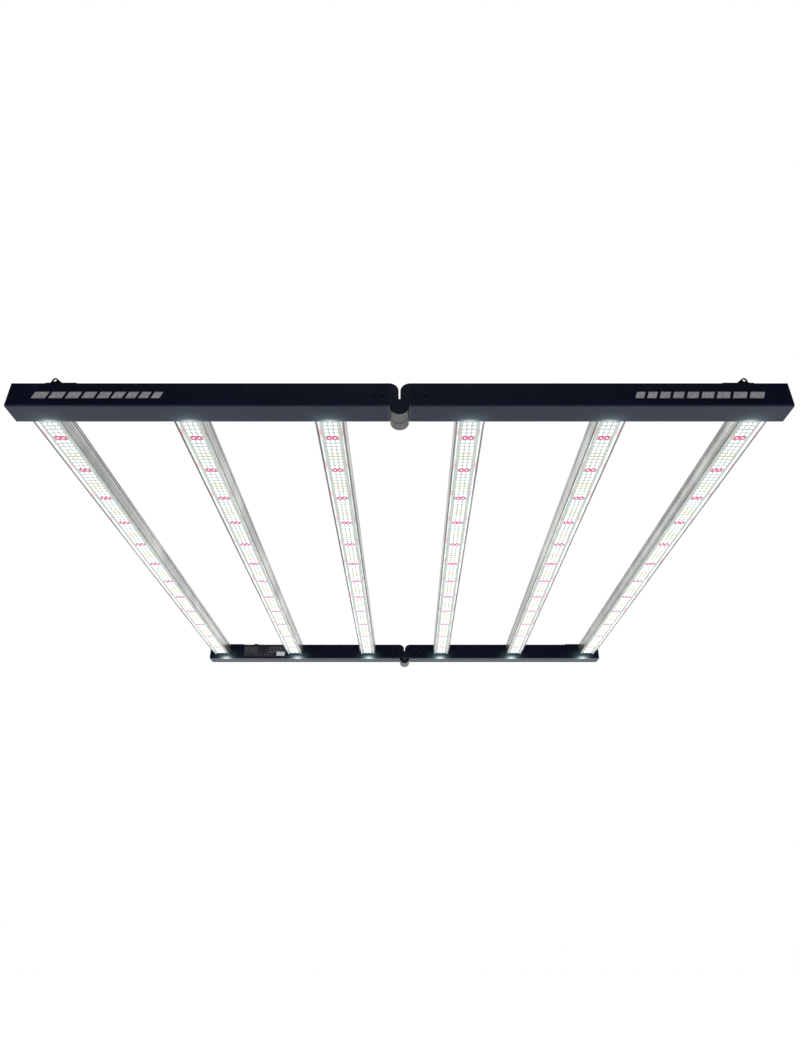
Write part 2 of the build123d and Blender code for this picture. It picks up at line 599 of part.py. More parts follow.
save_half("left", -1)
save_half("right", 1)
save_bars()
save_hinges()
save_controls()
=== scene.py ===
import math
import random
import bmesh
import bpy
from mathutils import Matrix, Vector


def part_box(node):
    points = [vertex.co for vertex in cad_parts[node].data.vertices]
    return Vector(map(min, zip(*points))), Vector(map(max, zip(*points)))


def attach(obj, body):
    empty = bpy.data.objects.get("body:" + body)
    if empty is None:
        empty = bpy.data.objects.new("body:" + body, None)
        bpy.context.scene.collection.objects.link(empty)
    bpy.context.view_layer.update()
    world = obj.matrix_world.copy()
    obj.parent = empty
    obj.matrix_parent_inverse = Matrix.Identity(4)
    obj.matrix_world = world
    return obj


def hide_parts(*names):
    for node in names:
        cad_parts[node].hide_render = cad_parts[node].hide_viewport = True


# The looks of a foldable six-bar LED grow light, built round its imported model. Metres.
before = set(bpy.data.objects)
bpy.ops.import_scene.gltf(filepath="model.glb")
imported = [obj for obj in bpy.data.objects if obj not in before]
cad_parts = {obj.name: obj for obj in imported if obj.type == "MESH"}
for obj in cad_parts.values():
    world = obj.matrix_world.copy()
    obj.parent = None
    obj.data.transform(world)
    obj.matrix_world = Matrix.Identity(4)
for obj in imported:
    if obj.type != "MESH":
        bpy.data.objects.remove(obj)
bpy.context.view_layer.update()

MM = 0.001
BAR_NUMBERS = range(1, 7)
SIDES = ("left", "right")
BODY_OF_SIDE = {"left": "left_half", "right": "right_half"}


def side_of_bar(number):
    """Bars 1 to 3 belong to the left half, 4 to 6 to the right half."""
    return "left" if number <= 3 else "right"


# ---------------------------------------------------------------- places read from the frame
front_low, front_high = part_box("front_rail_left")
rear_low, rear_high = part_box("rear_rail_left")
RAIL_BOTTOM = front_low.z
RAIL_TOP = front_high.z
FRONT_FACE = front_low.y
REAR_FACE = rear_high.y
REAR_INNER = rear_low.y
HALF_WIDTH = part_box("front_end_cap_right")[1].x
RAIL_MIDDLE = (REAR_FACE + REAR_INNER) / 2
BAR_LOW, BAR_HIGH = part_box("heat_sink_1")
BAR_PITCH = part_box("heat_sink_2")[0].x - BAR_LOW.x
HINGE_AXIS_HEIGHT = 13.5 * MM
BARREL_RADIUS = 13.5 * MM


# ---------------------------------------------------------------- LED rows, counted in steps
LED_ROW_PITCH = 8.98 * MM
STEPS_PER_RED_ROW = 10
RED_ROW_PITCH = LED_ROW_PITCH * STEPS_PER_RED_ROW
RED_ROWS = 12
ROWS_BEYOND_RED = 5
WARM_STEPS = (5, 6)

# Light that the LEDs throw on the rails' paint and on the bars' lips
GLOW_PITCH = BAR_PITCH * 0.975      # the patches sit a little nearer the fold than the bars
CORE = dict(width=11.0 * MM, depth=5.0 * MM, strength=0.80)
HAZE = dict(width=22.0 * MM, depth=16.0 * MM, strength=0.10)
HAZE_TINT = (0.50, 0.92, 1.0)
CORE_TINT = (0.90, 1.0, 0.95)
PINK_SHIFT = 15.0 * MM              # the pink patches sit a little in front of their red rows
PINK_REACH = 11.0 * MM
LIP_WHITE = (0.92, 1.0, 0.96)
LIP_PINK = (1.0, 0.36, 0.52)
LIP_GLOW = 0.55


# ---------------------------------------------------------------- node helpers for materials
class Nodes:
    """A material being built: adds nodes and joins them by name."""

    def __init__(self, name):
        self.material = bpy.data.materials.new(name)
        self.material.use_nodes = True
        self.tree = self.material.node_tree
        self.shader = self.tree.nodes["Principled BSDF"]

    def add(self, kind, **settings):
        node = self.tree.nodes.new(kind)
        for key, value in settings.items():
            if key in node.inputs:
                node.inputs[key].default_value = value
            else:
                setattr(node, key, value)
        return node

    def link(self, out_socket, in_socket):
        self.tree.links.new(out_socket, in_socket)

    def set(self, **values):
        """Set the shader's own sockets; underscores stand for spaces."""
        for key, value in values.items():
            self.shader.inputs[key.replace("_", " ")].default_value = value

    def place(self, scale=(1.0, 1.0, 1.0)):
        """Position on the object, in metres, stretched by scale."""
        coordinates = self.add("ShaderNodeTexCoord")
        mapping = self.add("ShaderNodeMapping")
        mapping.inputs["Scale"].default_value = scale
        self.link(coordinates.outputs["Object"], mapping.inputs["Vector"])
        return mapping.outputs["Vector"]

    def split(self, vector):
        """The X, Y and Z of a vector, as sockets with those names."""
        node = self.add("ShaderNodeSeparateXYZ")
        self.link(vector, node.inputs["Vector"])
        return node.outputs

    def facing(self, axis):
        """The object's own surface direction along X, Y or Z."""
        coordinates = self.add("ShaderNodeTexCoord")
        return self.split(coordinates.outputs["Normal"])[axis]

    def noise(self, vector, scale, detail=3.0, roughness=0.55):
        node = self.add("ShaderNodeTexNoise", Scale=scale, Detail=detail, Roughness=roughness)
        self.link(vector, node.inputs["Vector"])
        return node.outputs["Fac"]

    def ramp(self, factor, *stops):
        """Colour ramp with (position, colour) stops."""
        node = self.add("ShaderNodeValToRGB")
        elements = node.color_ramp.elements
        while len(elements) < len(stops):
            elements.new(0.5)
        for element, (position, colour) in zip(elements, stops):
            element.position = position
            element.color = (*colour, 1.0)
        self.link(factor, node.inputs["Fac"])
        return node.outputs["Color"]

    def remap(self, factor, low, high, start=0.0, end=1.0):
        """Go from low to high while factor goes from start to end."""
        reach = {"From Min": start, "From Max": end, "To Min": low, "To Max": high}
        node = self.add("ShaderNodeMapRange", **reach)
        self.link(factor, node.inputs["Value"])
        return node.outputs["Result"]

    def put(self, value, socket):
        """Feed a socket with a constant or with another socket."""
        if isinstance(value, (int, float, tuple)):
            socket.default_value = value
        else:
            self.link(value, socket)

    def math(self, operation, first, second=None):
        node = self.add("ShaderNodeMath", operation=operation)
        self.put(first, node.inputs[0])
        if second is not None:
            self.put(second, node.inputs[1])
        return node.outputs["Value"]

    def distance(self, first, second):
        """Length of the line whose two legs are given."""
        squares = self.math("ADD", self.math("MULTIPLY", first, first),
                            self.math("MULTIPLY", second, second))
        return self.math("SQRT", squares)

    def mix(self, factor, first, second, blend="MIX"):
        """Blend two colours; the node's colour sockets have no names of their own."""
        node = self.add("ShaderNodeMix", data_type="RGBA", blend_type=blend)
        factor_socket, first_socket, second_socket = node.inputs[0], node.inputs[6], node.inputs[7]
        self.put(factor, factor_socket)
        self.put(first, first_socket)
        self.put(second, second_socket)
        return node.outputs[2]

    def bump(self, height, strength, distance):
        node = self.add("ShaderNodeBump", Strength=strength, Distance=distance)
        self.link(height, node.inputs["Height"])
        self.link(node.outputs["Normal"], self.shader.inputs["Normal"])

    def colour(self, socket):
        self.link(socket, self.shader.inputs["Base Color"])

    def roughness(self, socket):
        self.link(socket, self.shader.inputs["Roughness"])

    def glow(self, colour, strength):
        """Light given off by the surface."""
        self.put(colour, self.shader.inputs["Emission Color"])
        self.put(strength, self.shader.inputs["Emission Strength"])


# ---------------------------------------------------------------- materials
# Scales of the noise in the powder coat, in patches per metre
TONE_PATCHES = 14.0
GLOSS_PATCHES = 60.0
FINE_PEEL = 1500.0


def falloff(m, distance, reach):
    """A soft bump that is one at no distance and nearly zero beyond twice the reach."""
    squared = m.math("POWER", m.math("DIVIDE", distance, reach), 2.0)
    return m.math("EXPONENT", m.math("MULTIPLY", squared, -1.0))


def from_nearest(m, place, pitch):
    """Distance to the nearest of the places that lie half a pitch off zero, one pitch apart."""
    share = m.math("FRACT", m.math("DIVIDE", place, pitch))
    return m.math("MULTIPLY", m.math("SUBTRACT", share, 0.5), pitch)


def patch(m, from_bar, from_edge, width, depth, strength):
    """One soft patch of light at the end of a bar."""
    shape = m.math("MULTIPLY", falloff(m, from_bar, width), falloff(m, from_edge, depth))
    return m.math("MULTIPLY", shape, strength)


def led_spill(m):
    """How strongly the bars' ends light the rail: a core and a haze on its lower inner edge."""
    spread = m.split(m.place())
    from_bar = from_nearest(m, m.math("ABSOLUTE", spread["X"]), GLOW_PITCH)
    inward = m.math("SUBTRACT", m.math("ABSOLUTE", spread["Y"]), REAR_INNER)
    upward = m.math("SUBTRACT", spread["Z"], RAIL_BOTTOM)
    from_edge = m.distance(inward, upward)
    return m.math("ADD", patch(m, from_bar, from_edge, **CORE), patch(m, from_bar, from_edge, **HAZE))


def orange_peel(m, place, rough_low, rough_high):
    """The gloss and the fine relief of a powder coat."""
    m.roughness(m.remap(m.noise(place, GLOSS_PATCHES), rough_low, rough_high))
    m.bump(m.noise(place, FINE_PEEL, detail=2.0), 0.12, 0.0001)


def powder_coat(name, dark, light, rough_low, rough_high):
    """Satin powder coat: fine orange peel, slight tone and gloss variation, lit by the bars' ends."""
    m = Nodes(name)
    place = m.place()
    m.colour(m.ramp(m.noise(place, TONE_PATCHES), (0.3, dark), (0.7, light)))
    orange_peel(m, place, rough_low, rough_high)
    m.set(IOR=1.42, Specular_Tint=(0.58, 0.68, 0.90, 1.0))
    spill = led_spill(m)
    m.glow(m.ramp(spill, (0.0, HAZE_TINT), (0.5, CORE_TINT)), spill)
    return m.material


def hinge_coat(name):
    """Powder coat on the hinge blocks, worn down to satin grey metal on the barrels."""
    m = Nodes(name)
    place = m.place()
    spread = m.split(place)
    from_axis = m.distance(spread["X"], m.math("SUBTRACT", spread["Z"], HINGE_AXIS_HEIGHT))
    marks = m.noise(m.place((1.0, 0.05, 1.0)), 900.0)
    on_barrel = m.math("LESS_THAN", from_axis, BARREL_RADIUS + 0.15 * MM)
    round_side = m.math("LESS_THAN", m.math("ABSOLUTE", m.facing("Y")), 0.5)
    worn = m.math("MULTIPLY", m.math("MULTIPLY", on_barrel, round_side), m.remap(marks, 0.75, 1.0))
    paint = m.ramp(m.noise(place, TONE_PATCHES), (0.3, (0.0012, 0.0034, 0.0110)),
                   (0.7, (0.0022, 0.0052, 0.0160)))
    bare = m.ramp(marks, (0.3, (0.075, 0.08, 0.085)), (0.7, (0.16, 0.165, 0.17)))
    m.colour(m.mix(worn, paint, bare))
    m.link(worn, m.shader.inputs["Metallic"])
    orange_peel(m, place, 0.30, 0.42)
    return m.material


def light_lips(m, along_bar):
    """The LEDs' light on a bar's sloped lips: white, with a pink patch beside each red row."""
    pink = falloff(m, from_nearest(m, m.math("ADD", along_bar, PINK_SHIFT), RED_ROW_PITCH), PINK_REACH)
    downward = m.facing("Z")
    sloped = m.math("MULTIPLY", m.math("LESS_THAN", downward, -0.4),
                    m.math("GREATER_THAN", downward, -0.9))
    m.glow(m.ramp(pink, (0.0, LIP_WHITE), (1.0, LIP_PINK)), m.math("MULTIPLY", sloped, LIP_GLOW))


def extruded_aluminium(name):
    """Mill-finish extrusion: die lines and streaks along Y, blotches, and painted shade on the wall tops
    and the flat lips.
    """
    m = Nodes(name)
    lines = m.noise(m.place((1.0, 0.004, 1.0)), 2600.0, detail=2.0)
    streaks = m.noise(m.place((1.0, 0.002, 1.0)), 420.0, detail=2.0)
    blotch = m.noise(m.place(), 9.0)
    mixed = m.math("ADD", m.math("MULTIPLY", streaks, 0.52), m.math("MULTIPLY", blotch, 0.36))
    mixed = m.math("ADD", mixed, m.math("MULTIPLY", lines, 0.12))
    tone = m.ramp(mixed, (0.38, (0.26, 0.27, 0.255)), (0.48, (0.44, 0.45, 0.43)),
                  (0.60, (0.74, 0.75, 0.72)))
    spread = m.split(m.place())
    # Painted shade: the upright walls are darkened towards their tops.
    near_top = m.remap(spread["Z"], 0.0, 0.68, start=BAR_HIGH.z - 4.0 * MM, end=BAR_HIGH.z - 0.5 * MM)
    upright = m.math("GREATER_THAN", m.math("ABSOLUTE", m.facing("X")), 0.5)
    wall_top_painted_shade = m.math("SUBTRACT", 1.0, m.math("MULTIPLY", upright, near_top))
    # Painted shade: the lips' flat undersides are darkened.
    flat_lip = m.math("LESS_THAN", m.facing("Z"), -0.9)
    flat_lip_painted_shade = m.math("SUBTRACT", 1.0, m.math("MULTIPLY", flat_lip, 0.62))
    m.colour(m.mix(1.0, tone, m.math("MULTIPLY", wall_top_painted_shade, flat_lip_painted_shade), blend="MULTIPLY"))
    m.roughness(m.remap(lines, 0.22, 0.40))
    m.bump(lines, 0.10, 0.00006)
    m.set(Metallic=0.85)
    light_lips(m, spread["Y"])
    return m.material


def metal(name, dark, light, rough_low, rough_high, scale=300.0):
    """Plain machined or plated metal with fine marks."""
    m = Nodes(name)
    marks = m.noise(m.place(), scale, detail=4.0)
    m.colour(m.ramp(marks, (0.3, dark), (0.7, light)))
    m.roughness(m.remap(marks, rough_low, rough_high))
    m.bump(marks, 0.1, 0.00005)
    m.set(Metallic=1.0)
    return m.material


def moulded(name, dark, light, rough_low, rough_high, scale=900.0):
    """Moulded plastic or rubber with a fine texture."""
    m = Nodes(name)
    place = m.place()
    grain = m.noise(place, scale, detail=2.0)
    m.colour(m.ramp(m.noise(place, 40.0), (0.3, dark), (0.7, light)))
    m.roughness(m.remap(grain, rough_low, rough_high))
    m.bump(grain, 0.15, 0.0001)
    return m.material


def board_mask(name):
    """White solder mask, lit from beside by the LEDs on it, with faint copper traces under it."""
    m = Nodes(name)
    traces = m.noise(m.place((900.0, 30.0, 1.0)), 1.0, detail=1.0, roughness=0.2)
    grain = m.noise(m.place(), 700.0)
    m.colour(m.ramp(traces, (0.40, (0.30, 0.34, 0.32)), (0.60, (0.42, 0.46, 0.43))))
    m.roughness(m.remap(grain, 0.35, 0.5))
    m.bump(traces, 0.2, 0.00008)
    m.glow((0.86, 0.95, 0.90, 1.0), 0.12)
    return m.material


def lit_dome(name, strength, *stops):
    """A lit LED: its colour goes from the hot centre to the rim, told by the piece's UV."""
    m = Nodes(name)
    coordinates = m.add("ShaderNodeTexCoord")
    length = m.add("ShaderNodeVectorMath", operation="LENGTH")
    m.link(coordinates.outputs["UV"], length.inputs[0])
    glow = m.ramp(length.outputs["Value"], *stops)
    speck = m.noise(m.place(), 4000.0)
    m.colour(glow)
    m.roughness(m.remap(speck, 0.15, 0.3))
    m.glow(glow, strength)
    return m.material


def printed(name, dark, light):
    """Screen-printed ink: slightly uneven and matt."""
    m = Nodes(name)
    place = m.place()
    m.colour(m.ramp(m.noise(place, 220.0), (0.35, dark), (0.65, light)))
    m.roughness(m.remap(m.noise(place, 900.0), 0.38, 0.55))
    return m.material


def use(material, *names):
    """Give CAD nodes a better material in every slot."""
    for name in names:
        mesh_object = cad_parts[name]
        for slot in mesh_object.material_slots:
            slot.material = material


# ---------------------------------------------------------------- mesh helpers
def finished(name, mesh_builder, material, body, smooth=True):
    """Turn a bmesh into a piece that rides on a body."""
    mesh = bpy.data.meshes.new(name)
    mesh_builder.to_mesh(mesh)
    mesh_builder.free()
    mesh.materials.append(material)
    for polygon in mesh.polygons:
        polygon.use_smooth = smooth
    piece = bpy.data.objects.new(name, mesh)
    bpy.context.scene.collection.objects.link(piece)
    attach(piece, body)
    return piece


def ring_of(builder, centre, along, across, radii):
    """A ring of vertices round a centre, one for each radius."""
    points = []
    for step, radius in enumerate(radii):
        angle = 2 * math.pi * step / len(radii)
        way = along * math.cos(angle) + across * math.sin(angle)
        points.append(builder.verts.new(centre + way * radius))
    return points


def bridge(builder, first, second):
    """Faces between two rings of the same count."""
    faces = []
    count = len(first)
    for step in range(count):
        after = (step + 1) % count
        faces.append(builder.faces.new((first[step], first[after], second[after], second[step])))
    return faces


def stack(builder, rings):
    """Close a row of rings into one solid, capped at both ends."""
    for first, second in zip(rings, rings[1:]):
        bridge(builder, first, second)
    builder.faces.new(rings[0])
    builder.faces.new(rings[-1])


def add_prism(builder, outline, face_y, lift):
    """A thin printed or stuck-on shape, given by (x, z) points, standing out from a face towards -Y."""
    back = [builder.verts.new((x, face_y, z)) for x, z in outline]
    front = [builder.verts.new((x, face_y - lift, z)) for x, z in outline]
    bridge(builder, back, front)
    builder.faces.new(front)
    builder.faces.new(back)


def rectangle(x0, x1, z0, z1, slant=0.0):
    """Corners of a rectangle, its top moved sideways by slant."""
    return [(x0, z0), (x1, z0), (x1 + slant, z1), (x0 + slant, z1)]


def closed(builder):
    """Make all faces of a builder point outwards."""
    bmesh.ops.recalc_face_normals(builder, faces=builder.faces[:])
    return builder


# ---------------------------------------------------------------- screws
SCREW_SEGMENTS = 24
SMALL_SCREW = dict(head=2.2 * MM, shaft=1.2 * MM, sink=1.2 * MM, socket=1.05 * MM)
LARGE_SCREW = dict(head=3.7 * MM, shaft=1.95 * MM, sink=1.7 * MM, socket=1.75 * MM)
BEVEL = 0.08 * MM
BEVEL_SHARE = 0.95                  # of the head's radius, where the bevel begins
SOCKET_DEPTH_SHARE = 0.85           # of the head's depth
COVER_SCREW_X = [x * MM for x in (70.0, 225.0, 380.0, 530.0)]
LUG_SCREW_X = [x * MM for x in (464.0, 500.5)]
HINGE_SCREW_X = [x * MM for x in (23.0, 37.0)]
DRIVER_SCREW_X = [x * MM for x in (169.0, 245.0)]
LEDGE_LINES = (REAR_INNER + 4.0 * MM, REAR_FACE - 4.0 * MM)
LEDGE_MIDDLE = RAIL_TOP - 3.5 * MM
LUG_FLANGE = 2.0 * MM
HINGE_SCREW_HEIGHT = RAIL_BOTTOM + 18.0 * MM
COVER_SCREW_LENGTH = 4.8 * MM
LUG_SCREW_LENGTH = 6.5 * MM
CAP_SCREW_LENGTH = 8.0 * MM
HINGE_SCREW_LENGTH = 9.0 * MM
DRIVER_SCREW_LENGTH = 8.0 * MM


def hexagon(flat):
    """Radii of a hexagon all the way round; flat is from its centre to a side."""
    radii = []
    for step in range(SCREW_SEGMENTS):
        from_side = (2 * math.pi * step / SCREW_SEGMENTS) % (math.pi / 3) - math.pi / 6
        radii.append(flat / math.cos(from_side))
    return radii


def circle(radius):
    """Radii of a circle all the way round."""
    return [radius] * SCREW_SEGMENTS


def add_screw(builder, place, outward, length, head, shaft, sink, socket):
    """A countersunk screw with a hexagon socket; outward is the way its head faces."""
    along = outward.orthogonal().normalized()
    across = outward.cross(along)
    levels = [(hexagon(socket), sink * SOCKET_DEPTH_SHARE), (hexagon(socket), 0.0),
              (circle(head * BEVEL_SHARE), 0.0), (circle(head), BEVEL),
              (circle(shaft), sink), (circle(shaft), length)]
    stack(builder, [ring_of(builder, place - outward * depth, along, across, radii)
                    for radii, depth in levels])


def corner_screws(side, end):
    """Places, directions and lengths of one rail half's screws, for the small and the large kind."""
    small = []
    large = []
    for y in LEDGE_LINES:
        small += [((x, y, RAIL_TOP), (0, 0, 1), COVER_SCREW_LENGTH) for x in COVER_SCREW_X]
        small += [((x, y, RAIL_TOP + LUG_FLANGE), (0, 0, 1), LUG_SCREW_LENGTH) for x in LUG_SCREW_X]
        small.append(((HALF_WIDTH, y, LEDGE_MIDDLE), (1, 0, 0), CAP_SCREW_LENGTH))
    for x in HINGE_SCREW_X:
        large.append(((x, REAR_FACE, HINGE_SCREW_HEIGHT), (0, 1, 0), HINGE_SCREW_LENGTH))
        large.append(((x, REAR_INNER, HINGE_SCREW_HEIGHT), (0, -1, 0), HINGE_SCREW_LENGTH))
    if end > 0:
        large += [((x, RAIL_MIDDLE, RAIL_BOTTOM), (0, 0, -1), DRIVER_SCREW_LENGTH) for x in DRIVER_SCREW_X]
    turn = Vector((side, end, 1))
    return [[(Vector(place) * turn, Vector(way) * turn, length) for place, way, length in kind]
            for kind in (small, large)]


def add_screws(side_name, side, material):
    """All countersunk screws of one half, in place of the plain ones."""
    for kind, (name, sizes) in enumerate((("small", SMALL_SCREW), ("large", LARGE_SCREW))):
        builder = bmesh.new()
        for end in (-1, 1):
            for place, outward, length in corner_screws(side, end)[kind]:
                add_screw(builder, place, outward, length, **sizes)
        piece = finished(f"{name}_socket_screws_{side_name}", closed(builder), material,
                         BODY_OF_SIDE[side_name], smooth=False)
        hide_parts(f"{name}_screws_{side_name}")


# ---------------------------------------------------------------- printed marks
MARK_LIFT = 0.12 * MM


def add_rail_stripes(side_name, first_x, widths, material):
    """A plain row of slanted bars on the near rail, standing in for the maker's lettering."""
    builder = bmesh.new()
    gap = 4.5 * MM
    slant = 4.0 * MM
    half_height = 5.5 * MM
    middle = (RAIL_BOTTOM + RAIL_TOP) / 2 - 1.0 * MM
    x = first_x
    for width in widths:
        add_prism(builder, rectangle(x, x + width, middle - half_height, middle + half_height, slant),
                  FRONT_FACE, MARK_LIFT)
        x += width + gap
    finished(f"rail_stripes_{side_name}", closed(builder), material, BODY_OF_SIDE[side_name],
             smooth=False)


def add_dash_rows(builder, low, high, knob_x):
    """Rows of short dashes of random length, with a clear strip round the knob."""
    dice = random.Random(5)
    row_step = 2.4 * MM
    dash_height = 1.1 * MM
    dash_gap = 1.3 * MM
    clear = 13.0 * MM
    z = low.z + 10.5 * MM
    while z < high.z - 3.0 * MM:
        x = low.x + 3.0 * MM
        while x < high.x - 9.0 * MM:
            width = dice.uniform(2.0, 7.0) * MM
            if abs(x + width / 2 - knob_x) > clear + width / 2:
                add_prism(builder, rectangle(x, x + width, z, z + dash_height), low.y, MARK_LIFT)
            x += width + dash_gap
        z += row_step


def add_squares(builder, low):
    """A row of nine small squares along the plate's lower edge."""
    square = 3.0 * MM
    square_step = 9.2 * MM
    bottom = low.z + 3.5 * MM
    for step in range(9):
        x = low.x + 3.0 * MM + step * square_step
        add_prism(builder, rectangle(x, x + square, bottom, bottom + square), low.y, MARK_LIFT)


def add_dial_ticks(builder, centre, face_y):
    """A ring of ticks round the knob, over its whole travel."""
    ticks = 11
    travel = 280.0
    inner = 9.6 * MM
    outer = 11.6 * MM
    half_width = 0.35 * MM
    for step in range(ticks):
        angle = math.radians(travel * step / (ticks - 1) - travel / 2)
        way = Vector((math.sin(angle), math.cos(angle)))
        across = Vector((way.y, -way.x)) * half_width
        corners = [centre + way * inner - across, centre + way * inner + across,
                   centre + way * outer + across, centre + way * outer - across]
        add_prism(builder, [tuple(corner) for corner in corners], face_y, MARK_LIFT)


def add_plate_print(ink, label_paint):
    """Dashes, squares and dial ticks on the dimmer's plate, and a blank white label."""
    low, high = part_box("rating_plate")
    knob_low, knob_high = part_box("dimmer_knob")
    knob_centre = Vector(((knob_low.x + knob_high.x) / 2, (knob_low.z + knob_high.z) / 2))
    builder = bmesh.new()
    add_dash_rows(builder, low, high, knob_centre.x)
    add_squares(builder, low)
    add_dial_ticks(builder, knob_centre, low.y)
    finished("plate_print", closed(builder), ink, "left_half", smooth=False)
    label = bmesh.new()
    outline = rectangle(high.x - 26.0 * MM, high.x - 3.0 * MM, low.z + 2.0 * MM, low.z + 14.0 * MM)
    add_prism(label, outline, low.y - MARK_LIFT, MARK_LIFT)
    finished("blank_label", closed(label), label_paint, "left_half", smooth=False)


# ---------------------------------------------------------------- LEDs
RED_PAIR_OFFSET = 4.4 * MM
WHITE_COLUMNS = (-7.45 * MM, 0.0, 7.45 * MM)
WHITE_RADIUS = 2.9 * MM
WHITE_DOME = 1.1 * MM
RED_RADIUS = 1.75 * MM
RED_DOME = 1.0 * MM
RED_PATCH_X = 4.5 * MM
RED_PATCH_Y = 6.0 * MM
RED_PATCH_HEIGHT = 0.3 * MM
DOME_SEGMENTS = 14
DOME_RINGS = ((1.0, 0.0), (0.94, 0.42), (0.72, 0.74), (0.36, 0.95))


def add_dome(builder, uv_layer, centre, reach_x, reach_y, height, uv_reach=1.0):
    """A lens that bulges down from the board; its UV is zero at the tip and uv_reach at the rim."""
    along, across, down = Vector((reach_x, 0, 0)), Vector((0, reach_y, 0)), Vector((0, 0, -1))
    rings = [ring_of(builder, centre + down * height * lift, along, across, [share] * DOME_SEGMENTS)
             for share, lift in DOME_RINGS]
    tip = builder.verts.new(centre + down * height)
    faces = []
    for first, second in zip(rings, rings[1:]):
        faces += bridge(builder, second, first)
    last = rings[-1]
    for step in range(DOME_SEGMENTS):
        faces.append(builder.faces.new((last[(step + 1) % DOME_SEGMENTS], last[step], tip)))
    for face in faces:
        for loop in face.loops:
            offset = loop.vert.co - centre
            loop[uv_layer].uv = (offset.x / reach_x * uv_reach, offset.y / reach_y * uv_reach)


def add_red_led(builder, uv_layer, centre):
    """A red LED's round lens in the middle of the pink patch that it lights on the board."""
    add_dome(builder, uv_layer, centre, RED_PATCH_X, RED_PATCH_Y, RED_PATCH_HEIGHT)
    add_dome(builder, uv_layer, centre, RED_RADIUS, RED_RADIUS, RED_DOME, uv_reach=0.3)


def led_rows():
    """Row places along a bar, each with its kind: red, warm or white."""
    last_red = (RED_ROWS - 1) * STEPS_PER_RED_ROW
    for row in range(-ROWS_BEYOND_RED, last_red + ROWS_BEYOND_RED + 1):
        step = row % STEPS_PER_RED_ROW
        between_reds = 0 < row < last_red
        kind = "red" if step == 0 else "warm" if step in WARM_STEPS and between_reds else "white"
        yield (row - last_red / 2) * LED_ROW_PITCH, kind


def add_leds(number, materials):
    """White, warm-white and red LEDs of one bar, as one piece each."""
    low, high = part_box(f"led_board_{number}")
    middle_x = (low.x + high.x) / 2
    board_face = low.z
    side = side_of_bar(number)
    builders = {}
    for kind in ("white", "warm", "red"):
        builder = bmesh.new()
        builders[kind] = (builder, builder.loops.layers.uv.new("UVMap"))
    for y, kind in led_rows():
        builder, uv_layer = builders[kind]
        columns = (-RED_PAIR_OFFSET, RED_PAIR_OFFSET) if kind == "red" else WHITE_COLUMNS
        for offset in columns:
            centre = Vector((middle_x + offset, y, board_face))
            if kind == "red":
                add_red_led(builder, uv_layer, centre)
            else:
                add_dome(builder, uv_layer, centre, WHITE_RADIUS, WHITE_RADIUS, WHITE_DOME)
    pieces = {}
    for kind, (builder, _) in builders.items():
        pieces[kind] = finished(f"{kind}_leds_{number}", builder, materials[kind],
                                BODY_OF_SIDE[side])
    return pieces


# ---------------------------------------------------------------- camera, light and floor
CAMERA_LENS = 24.18                 # for a sensor 36 mm wide
CAMERA_SHIFT = -0.0090
CAMERA_PITCH = 0.50154              # radians above level
CAMERA_X = 0.0139
CAMERA_BACK = 0.77481               # in front of the near rail
CAMERA_BELOW = 0.60581              # below the rails' underside
BRIGHT_WAY = (0.0, 0.80, -0.60)     # ahead of the camera and below it
DIM_TONE = 0.015                    # behind the camera
CEILING_TONE = 0.6
SUN_STRENGTH = 2.65
SUN_ANGLE = math.radians(12.0)
FLOOR_REACH = 14.0
FLOOR_DROP = 1.7


def add_camera():
    """In front of the near rail and below it, looking up along the bars."""
    camera = bpy.data.objects.new("camera", bpy.data.cameras.new("camera"))
    bpy.context.scene.collection.objects.link(camera)
    camera.data.sensor_width = 36.0
    camera.data.lens = CAMERA_LENS
    camera.data.shift_x = CAMERA_SHIFT
    place = Vector((CAMERA_X, FRONT_FACE - CAMERA_BACK, RAIL_BOTTOM - CAMERA_BELOW))
    turn = Matrix.Rotation(math.pi / 2 + CAMERA_PITCH, 4, "X")
    camera.matrix_world = Matrix.Translation(place) @ turn
    bpy.context.scene.camera = camera


def smooth_range(tree, value, start, end, low, high):
    """Go smoothly from low to high while value goes from start to end."""
    node = tree.nodes.new("ShaderNodeMapRange")
    node.interpolation_type = "SMOOTHSTEP"
    for name, number in (("From Min", start), ("From Max", end), ("To Min", low), ("To Max", high)):
        node.inputs[name].default_value = number
    tree.links.new(value, node.inputs["Value"])
    return node.outputs["Result"]


def larger(tree, first, second):
    """The larger of two values."""
    node = tree.nodes.new("ShaderNodeMath")
    node.operation = "MAXIMUM"
    tree.links.new(first, node.inputs[0])
    tree.links.new(second, node.inputs[1])
    return node.outputs["Value"]


def add_world():
    """Soft white studio, darker behind the camera, and plain white wherever the camera sees it."""
    world = bpy.data.worlds.new("studio")
    bpy.context.scene.world = world
    world.use_nodes = True
    tree = world.node_tree
    background = tree.nodes["Background"]
    background.inputs["Color"].default_value = (1.0, 1.0, 1.0, 1.0)
    way = tree.nodes.new("ShaderNodeTexCoord").outputs["Generated"]
    aim = tree.nodes.new("ShaderNodeVectorMath")
    aim.operation = "DOT_PRODUCT"
    aim.inputs[1].default_value = BRIGHT_WAY
    tree.links.new(way, aim.inputs[0])
    split = tree.nodes.new("ShaderNodeSeparateXYZ")
    tree.links.new(way, split.inputs["Vector"])
    tone = smooth_range(tree, aim.outputs["Value"], -0.45, 0.30, DIM_TONE, 1.0)
    ceiling = smooth_range(tree, split.outputs["Z"], 0.72, 0.98, 0.0, CEILING_TONE)
    seen = tree.nodes.new("ShaderNodeLightPath").outputs["Is Camera Ray"]
    tree.links.new(larger(tree, seen, larger(tree, tone, ceiling)), background.inputs["Strength"])


